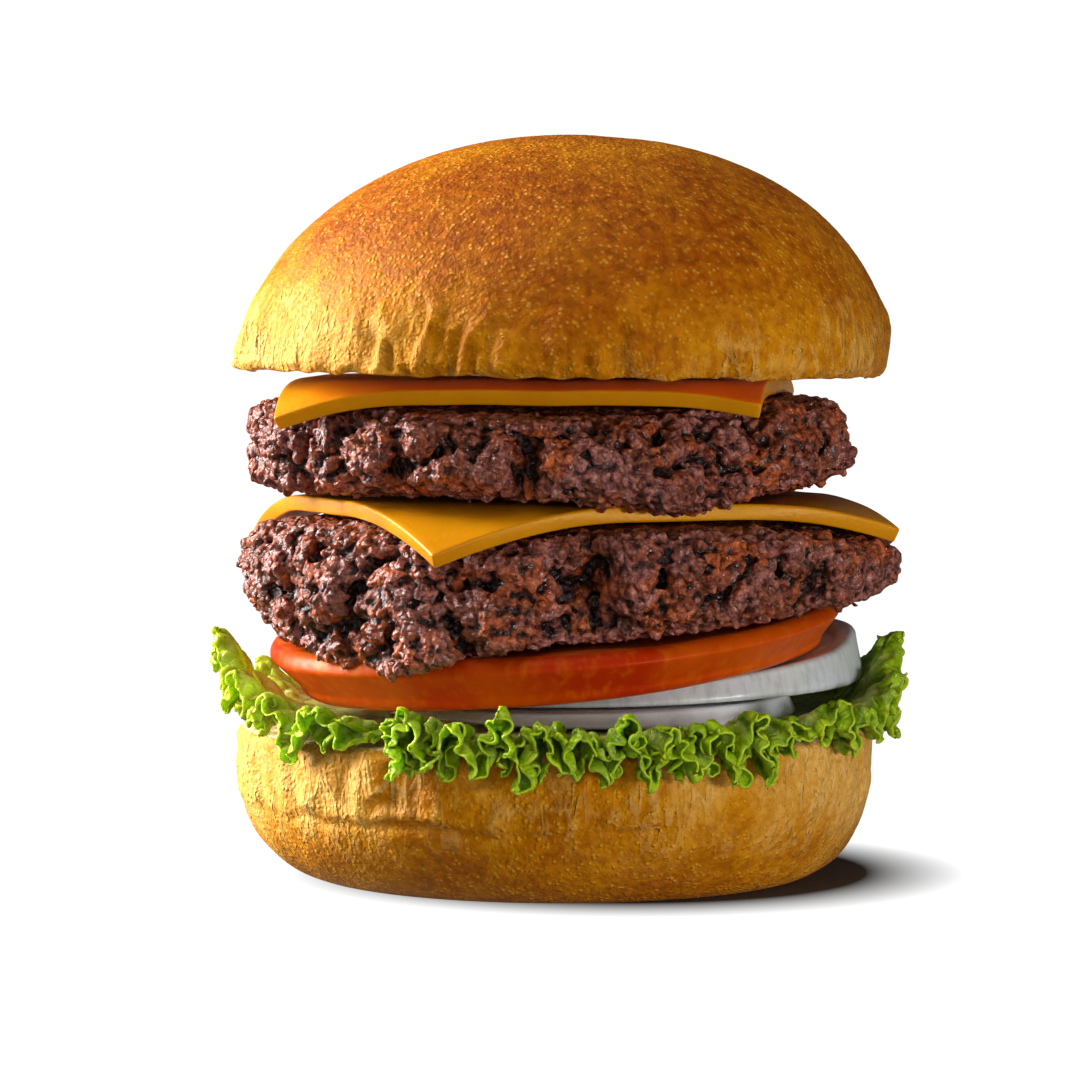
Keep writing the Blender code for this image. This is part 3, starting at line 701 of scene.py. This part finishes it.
def make_cheese(node, cheese, look):
    """A square sheet that bends down at its corners and edges, with softly rounded rims."""
    side, floor, centre = cheese["side"], cheese["floor"], cheese["centre"]
    bm = bmesh.new()
    bmesh.ops.create_grid(bm, x_segments=CHEESE_CELLS, y_segments=CHEESE_CELLS, size=side / 2)
    mesh = bpy.data.meshes.new(f"{node}_dressed")
    bm.to_mesh(mesh)
    bm.free()
    cosine, sine = math.cos(cheese["turn"]), math.sin(cheese["turn"])
    for vertex in mesh.vertices:
        flat = Vector(vertex.co[:2])
        rim = max(abs(flat.x), abs(flat.y)) > side / 2 - 0.01 * MM
        wobble = 0.12 * MM * slow_noise(Vector((flat.x, flat.y, floor)), 9 * MM, 2.0)
        height = 0.16 * MM * slow_noise(Vector((flat.x, flat.y, floor)), 12 * MM, 6.0)
        for direction, fold, radius in cheese["bends"]:
            angle = math.radians(direction)
            down = Vector((math.cos(angle), math.sin(angle)))
            past = flat.dot(down) - fold
            if past > 0:
                flat -= down * (past - radius * math.sin(past / radius))
                height -= radius * (1 - math.cos(past / radius))
        if rim:
            flat *= 1 + wobble / side
        x = flat.x * cosine - flat.y * sine + centre[0]
        y = flat.x * sine + flat.y * cosine + centre[1]
        vertex.co = (x, y, floor + CHEESE_THICKNESS / 2 + height)
    mesh.materials.append(look)
    obj = add_object(f"{node}_dressed", mesh)
    add_modifier(obj, "SOLIDIFY", thickness=CHEESE_THICKNESS, offset=0.0)
    add_modifier(obj, "BEVEL", width=CHEESE_RIM, segments=3, angle_limit=math.radians(50))
    apply_modifiers(obj)
    obj.data.shade_smooth()
    return obj


# Lettuce

def leaf_stations(leaf, angle):
    """Radius, height and ruffle of the leaf at this angle, from its inner edge to its margin."""
    middle, half_width, stand = leaf["stands"]
    lift = math.exp(-(((angle - middle) / half_width) ** 2)) * stand * MM
    ruffle = leaf["ruffle"] * MM
    droop = leaf["droop"] * MM
    floor = LEAF_FLOOR + leaf.get("raised", 0.0) * MM
    inset = leaf.get("inset", 0.0) * MM
    reach = 60.6 * MM if stand > 2 else 61.6 * MM
    return [
        (LEAF_INNER_RADIUS, LEAF_FLOOR, 0.0),
        (49.5 * MM - inset, floor + 0.6 * MM, 0.06 * ruffle),
        (54.5 * MM - inset, floor + 2.0 * MM + 0.3 * lift - 0.4 * droop, 0.32 * ruffle),
        (57.9 * MM - inset, floor + 1.5 * MM + 0.85 * lift - 0.8 * droop, 0.72 * ruffle),
        (reach - inset, floor + 0.2 * MM + 0.9 * lift - droop, ruffle),
    ]


def leaf_point(leaf, along, place):
    """A point of the leaf: along runs from 0 to 1 round its arc, and place from 0 at its inner edge to 4."""
    start, end = leaf["arc"]
    angle = start + (end - start) * along
    radius, height, ruffle = smooth_curve(leaf_stations(leaf, angle), place)
    drift = 0.5 * math.sin(2 * math.pi * 2.3 * along + leaf["phase"])
    turn = 2 * math.pi * leaf["waves"] * along + leaf["phase"] + drift
    size = ruffle * (0.85 + 0.25 * math.sin(2 * math.pi * 3.7 * along + 2 * leaf["phase"]))
    wave_length = math.radians(abs(end - start)) * radius / leaf["waves"]
    overhang = min(0.34 * size, 0.2 * wave_length) * math.sin(2 * turn)
    around = math.radians(angle) + math.copysign(overhang / radius, end - start)
    out = radius + 0.12 * size * math.sin(turn + 1.0)
    return Vector((out * math.cos(around), out * math.sin(around), height + size * math.cos(turn)))


def margin_spacing(leaf, spacing):
    """Shares of the arc that lie evenly along the ruffled margin, and how far along it each one is."""
    shares = np.linspace(0, 1, MARGIN_SAMPLES)
    trace = np.array([leaf_point(leaf, share, 4.0)[:] for share in shares])
    steps = np.linalg.norm(np.diff(trace, axis=0), axis=1)
    length = np.concatenate(([0.0], np.cumsum(steps)))
    columns = round(length[-1] / spacing)
    wanted = np.linspace(0, length[-1], columns + 1)
    return np.interp(wanted, length, shares), wanted


def sheet_normals(grid):
    """The direction out of a sheet at each of its points, which stand in rows and columns."""
    normals = np.cross(np.gradient(grid, axis=0), np.gradient(grid, axis=1))
    return normals / np.maximum(np.linalg.norm(normals, axis=2, keepdims=True), 1e-12)


def leaf_sheet(leaf):
    """The leaf's form with smaller frills on its ruffles, and a ragged margin. Also its veins."""
    seed = leaf["phase"]
    alongs, lengths = margin_spacing(leaf, LEAF_SPACING)
    outer = [1.4 + 2.6 * (i / (LEAF_ROWS - 5)) ** 0.85 for i in range(LEAF_ROWS - 4)]
    shares = np.array([0.0, 0.35, 0.7, 1.05, *outer]) / 4
    grid = np.empty((len(alongs), len(shares), 3))
    for i, (along, length) in enumerate(zip(alongs, lengths)):
        ragged = 0.10 * noise.noise(Vector((length / (3.1 * MM), seed, 0.0)))
        ragged += 0.06 * noise.noise(Vector((length / (1.2 * MM), seed, 5.0)))
        end_trim = 1 - 0.3 * (1 - smoothstep(min(along, 1 - along), 0.0, 0.05))
        for j, share in enumerate(shares):
            place = min(4 * share * (1 + (ragged - 0.03) * share) * end_trim, 4.0)
            grid[i, j] = leaf_point(leaf, along, place)
    spots = [[Vector((length, share * 16 * MM, seed)) for share in shares] for length in lengths]

    def field(size, shift):
        away = Vector((0.0, 0.0, shift))
        return np.array([[noise.noise(spot / (size * MM) + away) for spot in row] for row in spots])

    def rising(low, high):
        return np.array([smoothstep(share, low, high) for share in shares])

    frill, edge, body = rising(0.5, 1.0), rising(0.78, 1.0), rising(0.25, 0.6)
    swing = 2 * math.pi * lengths[:, None] / FRILL_LENGTH + 7 * field(11, 0.0)
    strength = np.clip(0.75 + 1.6 * field(10, 12.0), 0.15, 1.5)
    waves = leaf["frill"] * (0.6 * np.sin(swing) * strength + 1.5 * field(3.2, 15.0))
    grid += sheet_normals(grid) * (waves * frill**1.2)[:, :, None] * MM
    small = 0.6 * field(1.4, 3.0) * edge + 1.0 * field(2.8, 6.0) * body
    grid += sheet_normals(grid) * small[:, :, None] * MM
    ribs = np.clip(1 - 7 * np.abs(field(7, 9.0)), 0, 1) * (1 - 0.8 * frill)
    return grid, np.broadcast_to(shares, ribs.shape), ribs


def inner_frill(leaf):
    """A second row of ruffles, further in and lower, seen between those of the leaf's margin."""
    return {
        **leaf,
        "inset": 2.0,
        "raised": -0.2,
        "ruffle": leaf["ruffle"] * 0.72,
        "waves": leaf["waves"] * 1.27,
        "phase": leaf["phase"] + 2.0,
        "stands": (*leaf["stands"][:2], leaf["stands"][2] * 0.55),
    }


def make_leaf(node, leaf, look):
    """Two frilled sheets, given their thickness."""
    points, faces, margin, rib = [], [], [], []
    for layer in (leaf, inner_frill(leaf)):
        grid, shares, ribs = leaf_sheet(layer)
        columns, rows = shares.shape
        first = len(points)
        points.extend(grid.reshape(-1, 3).tolist())
        margin.extend(shares.ravel().tolist())
        rib.extend(ribs.ravel().tolist())
        starts = [first + i * rows + j for i in range(columns - 1) for j in range(rows - 1)]
        faces.extend((a, a + 1, a + rows + 1, a + rows) for a in starts)
    obj = add_mesh(f"{node}_dressed", points, faces, look, margin=margin, rib=rib)
    add_modifier(obj, "SOLIDIFY", thickness=LEAF_THICKNESS, offset=0.0)
    add_modifier(obj, "DECIMATE", ratio=min(1.0, LEAF_TRIANGLES / (4 * len(faces))))
    apply_modifiers(obj)
    obj.data.shade_smooth()
    return obj


# Materials

class Look:
    """A material of nodes, with short calls for the ones used here."""

    def __init__(self, name):
        self.material = bpy.data.materials.new(name)
        self.material.use_nodes = True
        self.tree = self.material.node_tree
        self.shader = self.tree.nodes["Principled BSDF"]
        self.place = self.tree.nodes.new("ShaderNodeTexCoord").outputs["Object"]

    def give(self, socket, value):
        if isinstance(value, bpy.types.NodeSocket):
            self.tree.links.new(value, socket)
        elif isinstance(value, tuple) and len(value) == 3 and len(socket.default_value) == 4:
            socket.default_value = (*value, 1.0)
        else:
            socket.default_value = value

    def node(self, kind, values, **settings):
        made = self.tree.nodes.new(kind)
        for key, value in settings.items():
            setattr(made, key, value)
        for socket, value in values.items():
            self.give(made.inputs[socket], value)
        return made

    def stretched(self, x, y, z):
        return self.node("ShaderNodeMapping", {"Vector": self.place, "Scale": (x, y, z)}).outputs[0]

    def noise(self, size, detail=2.0, place=None, distortion=0.0):
        """Smooth noise from 0 to 1, whose swells are about size millimetres across."""
        spot = {"Vector": place or self.place, "Scale": 1000 / size}
        grain = {"Detail": detail, "Distortion": distortion}
        return self.node("ShaderNodeTexNoise", {**spot, **grain}).outputs[0]

    def cells(self, size, feature="F1"):
        """Distance within cells of about this many millimetres."""
        values = {"Vector": self.place, "Scale": 1000 / size}
        return self.node("ShaderNodeTexVoronoi", values, feature=feature).outputs["Distance"]

    def span(self, value, low, high, to_low=0.0, to_high=1.0):
        """The value's stretch from low to high, spread over the new one and held at its ends."""
        values = {"Value": value, "From Min": low, "From Max": high, "To Min": to_low, "To Max": to_high}
        return self.node("ShaderNodeMapRange", values, clamp=True).outputs[0]

    def maths(self, operation, a, b=0.0):
        return self.node("ShaderNodeMath", {0: a, 1: b}, operation=operation).outputs[0]

    def plus(self, a, b):
        return self.maths("ADD", a, b)

    def times(self, a, b):
        return self.maths("MULTIPLY", a, b)

    def mix(self, share, a, b):
        """Colour a where the share is 0, and b where it is 1."""
        return self.node("ShaderNodeMix", {0: share, 6: a, 7: b}, data_type="RGBA").outputs[2]

    def blend(self, value, low, high, a, b, to_low=0.0, to_high=1.0):
        """Colours a and b, with the share of b read from the value."""
        return self.mix(self.span(value, low, high, to_low, to_high), a, b)

    def attribute(self, name):
        return self.node("ShaderNodeAttribute", {}, attribute_name=name).outputs["Fac"]

    def bump(self, height, depth, normal=None):
        """Relief of this many millimetres."""
        made = self.node("ShaderNodeBump", {"Height": height, "Distance": depth * MM})
        if normal:
            self.give(made.inputs["Normal"], normal)
        return made.outputs[0]

    def finish(self, colour, roughness, normal, **more):
        values = {"Base_Color": colour, "Roughness": roughness, "Normal": normal, **more}
        for socket, value in values.items():
            self.give(self.shader.inputs[socket.replace("_", " ")], value)
        return self.material


def gloss(level, tint):
    return {"Specular_IOR_Level": level, "Specular_Tint": tint}


def soft(weight, reach):
    """Light that goes in and out again, with its reach in millimetres for red, green and blue."""
    return {"Subsurface_Weight": weight, "Subsurface_Radius": reach, "Subsurface_Scale": MM}


def crust_look():
    look = Look("crust")
    # This mark is partly the bread's own paleness and partly painted light on the lit sides.
    pale = look.attribute("pale")
    mottle = look.noise(13, 4)
    fine = look.noise(2.0, 4, distortion=0.3)
    share = look.plus(pale, look.span(mottle, 0.3, 0.7, -0.3, 0.3))
    brown = look.blend(fine, 0.35, 0.65, (0.245, 0.048, 0.0005), (0.43, 0.104, 0.001))
    golden = look.blend(fine, 0.35, 0.65, (0.50, 0.165, 0.001), (0.66, 0.262, 0.003))
    cream_and_painted_light = look.blend(fine, 0.35, 0.65, (0.72, 0.335, 0.035), (0.86, 0.49, 0.13))
    colour = look.blend(share, 0.1, 0.95, brown, golden)
    # Painted light: where the mark runs highest, on the left of the top bun and the ends of the bottom bun,
    # the crust turns a light tan; in part it is also the paler low rim's own colour.
    colour = look.blend(share, 0.85, 1.5, colour, cream_and_painted_light, 0.0, 0.9)
    upright = look.stretched(1.0, 1.0, 0.28)
    lines = look.noise(3.0, 2, upright, 0.5)
    wrinkle = look.span(look.maths("ABSOLUTE", look.maths("SUBTRACT", lines, 0.5)), 0.0, 0.08, 1.0, 0.0)
    wrinkled = look.times(wrinkle, look.span(pale, 0.45, 0.95))
    wrinkled = look.times(wrinkled, look.span(look.noise(9, 1), 0.42, 0.6))
    colour = look.mix(look.times(wrinkled, 0.42), colour, (0.92, 0.64, 0.20))
    flecks = look.span(look.cells(1.15), 0.16, 0.42, 1.0, 0.0)
    patches = look.span(look.noise(2.0, 4), 0.40, 0.56, 0.0, 1.0)
    dots = look.times(flecks, patches)
    colour = look.mix(look.times(dots, 0.46), colour, (0.92, 0.45, 0.04))
    pits = look.span(look.noise(1.1, 3), 0.30, 0.44, 0.35, 0.0)
    colour = look.mix(pits, colour, (0.20, 0.045, 0.001))
    crumb_colour = look.mix(look.noise(3, 3), (0.86, 0.72, 0.46), (0.80, 0.55, 0.24))
    crumb = look.attribute("crumb")
    colour = look.mix(crumb, colour, crumb_colour)
    grain = look.plus(look.noise(0.9, 4), look.times(dots, 0.5))
    normal = look.bump(grain, 0.5)
    normal = look.bump(wrinkled, 0.3, normal)
    roughness = look.span(look.noise(4, 3), 0.3, 0.7, 0.40, 0.56)
    roughness = look.plus(roughness, look.times(crumb, 0.35))
    shine = gloss(0.18, (1.0, 0.55, 0.12))
    return look.finish(colour, roughness, normal, **shine)


def meat_look():
    look = Look("meat")
    painted_crevice_shade = look.attribute("painted_crevice_shade")
    kinds = look.noise(7.0, 3, distortion=0.6)
    seared = look.noise(8.0, 4, distortion=0.8)
    fine = look.noise(1.3, 4)
    tiny = look.noise(0.6, 2)
    brown = look.blend(fine, 0.34, 0.66, (0.070, 0.013, 0.006), (0.34, 0.084, 0.039))
    mauve = look.blend(fine, 0.34, 0.66, (0.11, 0.023, 0.017), (0.50, 0.174, 0.130))
    colour = look.blend(kinds, 0.42, 0.60, brown, mauve)
    red = look.blend(fine, 0.34, 0.66, (0.19, 0.020, 0.006), (0.64, 0.140, 0.026))
    colour = look.blend(seared, 0.50, 0.66, colour, red, 0.0, 0.9)
    colour = look.blend(tiny, 0.36, 0.48, colour, (0.045, 0.010, 0.006), 0.35, 0.0)
    # Painted shade: the colour turns nearly black in the small dips and in the wider, deeper ones.
    colour = look.blend(painted_crevice_shade, 0.48, 0.8, colour, (0.012, 0.002, 0.001), 0.0, 0.94)
    colour = look.blend(look.attribute("deep"), 0.50, 0.8, colour, (0.012, 0.003, 0.002), 0.0, 0.94)
    pebbles = look.span(look.cells(1.6), 0.05, 0.6, 1.0, 0.0)
    crumbs = look.span(look.cells(0.8), 0.05, 0.6, 1.0, 0.0)
    normal = look.bump(pebbles, 0.8)
    relief = look.plus(look.times(crumbs, 0.5), look.noise(1.0, 3))
    normal = look.bump(relief, 0.26, normal)
    roughness = look.span(look.noise(1.6, 2), 0.35, 0.65, 0.22, 0.50)
    return look.finish(colour, roughness, normal, Specular_IOR_Level=0.4)


def cheese_look():
    look = Look("cheese")
    cloud = look.noise(14, 3)
    colour = look.blend(cloud, 0.35, 0.65, (0.57, 0.205, 0.001), (0.64, 0.258, 0.0015))
    scratches = look.noise(2.5, 2, look.stretched(0.35, 1.6, 1.0))
    colour = look.blend(scratches, 0.62, 0.75, colour, (0.78, 0.25, 0.002), 0.0, 0.18)
    # Painted shade: the upper slice's top face, all but its left end, turns deep red-orange, standing in for
    # the shade and reddish bounce light under the top bun.
    geometry = look.node("ShaderNodeNewGeometry", {})
    facing = look.node("ShaderNodeSeparateXYZ", {0: geometry.outputs["Normal"]})
    place = look.node("ShaderNodeSeparateXYZ", {0: look.place})
    upper = look.span(place.outputs["Z"], 0.074, 0.076)
    upper = look.times(upper, look.span(facing.outputs["Z"], 0.55, 0.8))
    upper = look.times(upper, look.span(place.outputs["X"], -0.046, -0.022))
    colour = look.mix(look.times(upper, 0.85), colour, (0.95, 0.13, 0.001))
    relief = look.plus(look.noise(0.9, 2), look.times(scratches, 0.6))
    normal = look.bump(relief, 0.07)
    roughness = look.span(cloud, 0.3, 0.7, 0.3, 0.42)
    shine = gloss(0.3, (1.0, 0.7, 0.25))
    return look.finish(colour, roughness, normal, **shine, **soft(0.2, (2.4, 0.9, 0.1)))


def tomato_look():
    look = Look("tomato")
    skin = look.attribute("skin")
    ripe = look.noise(30, 3)
    streaks = look.noise(1.8, 2, look.stretched(1.0, 1.0, 0.2))
    skin_colour = look.blend(ripe, 0.30, 0.60, (0.66, 0.105, 0.001), (0.46, 0.022, 0.0005))
    skin_colour = look.blend(streaks, 0.5, 0.75, skin_colour, (0.78, 0.20, 0.002), 0.0, 0.3)
    flesh = look.blend(look.noise(6, 3), 0.35, 0.65, (0.50, 0.035, 0.003), (0.66, 0.13, 0.008))
    pips = look.span(look.cells(7), 0.0, 0.3, 0.6, 0.0)
    flesh = look.mix(pips, flesh, (0.62, 0.30, 0.05))
    colour = look.mix(skin, flesh, skin_colour)
    relief = look.plus(look.noise(1.2, 2), look.times(streaks, 0.5))
    normal = look.bump(relief, 0.06)
    roughness = look.span(look.noise(3, 2), 0.35, 0.65, 0.34, 0.5)
    shine = gloss(0.22, (1.0, 0.6, 0.3))
    return look.finish(colour, roughness, normal, **shine, **soft(0.2, (3.0, 0.5, 0.1)))


def onion_look():
    look = Look("onion")
    fibres = look.noise(1.3, 3, look.stretched(1.0, 1.0, 0.10))
    cloud = look.noise(11, 2)
    colour = look.blend(cloud, 0.35, 0.65, (0.67, 0.68, 0.71), (0.63, 0.67, 0.63))
    colour = look.blend(fibres, 0.46, 0.68, colour, (0.44, 0.45, 0.45), 0.0, 0.6)
    colour = look.mix(look.times(look.attribute("groove"), 0.6), colour, (0.55, 0.60, 0.42))
    # Painted light: the lower slice is whiter in colour, standing in for light where it lies in shade.
    colour = look.mix(look.times(look.attribute("pale"), 0.7), colour, (0.90, 0.92, 0.95))
    normal = look.bump(look.plus(fibres, look.noise(0.7, 2)), 0.07)
    roughness = look.span(cloud, 0.3, 0.7, 0.24, 0.36)
    return look.finish(colour, roughness, normal, **soft(0.35, (2.5, 2.5, 2.2)))


def lettuce_look():
    look = Look("lettuce")
    margin = look.attribute("margin")
    cloud = look.noise(7, 2)
    fine = look.noise(1.8, 3)
    green = look.blend(fine, 0.35, 0.65, (0.055, 0.125, 0.001), (0.17, 0.32, 0.003))
    light = look.blend(fine, 0.35, 0.65, (0.27, 0.43, 0.005), (0.48, 0.62, 0.015))
    share = look.plus(look.span(margin, 0.72, 1.0, -0.1, 0.45), look.span(cloud, 0.35, 0.65, 0.0, 0.6))
    colour = look.mix(share, green, light)
    colour = look.blend(margin, 0.3, 0.7, colour, (0.62, 0.68, 0.14), 0.7, 0.0)
    side = look.node("ShaderNodeSeparateXYZ", {0: look.place}).outputs["X"]
    colour = look.blend(side, -0.052, -0.040, colour, (0.66, 0.66, 0.05), 0.5, 0.0)
    colour = look.mix(look.times(look.attribute("rib"), 0.6), colour, (0.76, 0.80, 0.30))
    colour = look.blend(margin, 0.97, 1.0, colour, (0.62, 0.76, 0.06), 0.0, 0.3)
    veins = look.cells(2.6, "DISTANCE_TO_EDGE")
    normal = look.bump(look.span(veins, 0.0, 0.12), 0.12)
    normal = look.bump(look.noise(0.9, 2), 0.14, normal)
    roughness = look.span(fine, 0.3, 0.7, 0.26, 0.4)
    shine = gloss(0.35, (0.85, 1.0, 0.35))
    return look.finish(colour, roughness, normal, **shine, **soft(0.6, (0.9, 1.3, 0.1)))


def floor_look():
    """Near the object the floor is dark to the camera, a painted shadow round a middle set off to the right,
    and brighter to the light that bounces from it; some way off it is plain white.
    """
    look = Look("floor")
    nodes = look.tree.nodes
    nodes.remove(look.shader)
    seen = nodes.new("ShaderNodeLightPath").outputs["Is Camera Ray"]
    shade = look.span(seen, 0.0, 1.0, FLOOR_TO_LIGHT, FLOOR_TO_CAMERA)
    diffuse = look.node("ShaderNodeBsdfDiffuse", {"Color": shade})
    steps = {0: look.place, 1: SHADOW_MIDDLE}
    distance = look.node("ShaderNodeVectorMath", steps, operation="DISTANCE").outputs["Value"]
    strength = look.span(seen, 0.0, 1.0, FAR_FLOOR_TO_LIGHT, BACKDROP)
    white = look.node("ShaderNodeEmission", {"Strength": strength})
    # Painted shadow: within SHADOW_REACH of SHADOW_MIDDLE the camera sees the dark diffuse floor, which fades
    # to plain white further out.
    far = look.span(distance, *SHADOW_REACH)
    mixed = look.node("ShaderNodeMixShader", {0: far, 1: diffuse.outputs[0], 2: white.outputs[0]})
    look.give(nodes["Material Output"].inputs["Surface"], mixed.outputs[0])
    return look.material


# The pieces

def dress(piece, node):
    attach(piece, "root")
    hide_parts(node)


def add_pieces():
    crust, meat, cheese = crust_look(), meat_look(), cheese_look()
    onion, leaf_material = onion_look(), lettuce_look()
    dress(make_bottom_bun(crust), "bottom_bun")
    dress(make_top_bun(crust), "top_bun")
    dress(make_tomato(tomato_look()), "tomato")
    for node, shape in ONIONS.items():
        dress(make_onion(node, shape, onion), node)
    for node, shape in patty_shapes().items():
        dress(make_patty(node, shape, meat), node)
    for node, shape in CHEESES.items():
        dress(make_cheese(node, shape, cheese), node)
    for node, shape in LEAVES.items():
        dress(make_leaf(node, shape, leaf_material), node)


# Stage, light and camera

def add_floor():
    size = FLOOR_HALF_SIZE
    corners = [(-size, -size, 0), (size, -size, 0), (size, size, 0), (-size, size, 0)]
    floor = add_mesh("floor", corners, [(0, 1, 2, 3)], floor_look())


def add_softbox(name, place, aim, size, power):
    data = bpy.data.lights.new(name, "AREA")
    data.shape = "RECTANGLE"
    data.size, data.size_y = size
    data.energy = power
    lamp = add_object(name, data)
    lamp.location = place
    lamp.rotation_euler = (Vector(aim) - Vector(place)).to_track_quat("-Z", "Y").to_euler()


def add_lights():
    for name, settings in LAMPS.items():
        add_softbox(name, *settings)


def add_world():
    """White behind the object, and a dimmer even light from all sides."""
    world = bpy.data.worlds.new("studio")
    bpy.context.scene.world = world
    world.use_nodes = True
    nodes, links = world.node_tree.nodes, world.node_tree.links
    rays = nodes.new("ShaderNodeLightPath")
    brightness = nodes.new("ShaderNodeMapRange")
    brightness.inputs["To Min"].default_value = AMBIENT
    brightness.inputs["To Max"].default_value = BACKDROP
    links.new(rays.outputs["Is Camera Ray"], brightness.inputs["Value"])
    links.new(brightness.outputs[0], nodes["Background"].inputs["Strength"])
    nodes["Background"].inputs["Color"].default_value = (1.0, 1.0, 1.0, 1.0)


def add_camera():
    data = bpy.data.cameras.new("camera")
    data.lens = LENS
    data.sensor_width = SENSOR
    data.clip_start = 0.01
    camera = add_object("camera", data)
    camera.location = CAMERA_PLACE
    camera.rotation_euler = (math.radians(90 - CAMERA_DOWN), 0.0, 0.0)
    bpy.context.scene.camera = camera


add_camera()
add_lights()
add_world()
add_floor()
add_pieces()
bpy.context.scene.view_settings.view_transform = "Standard"
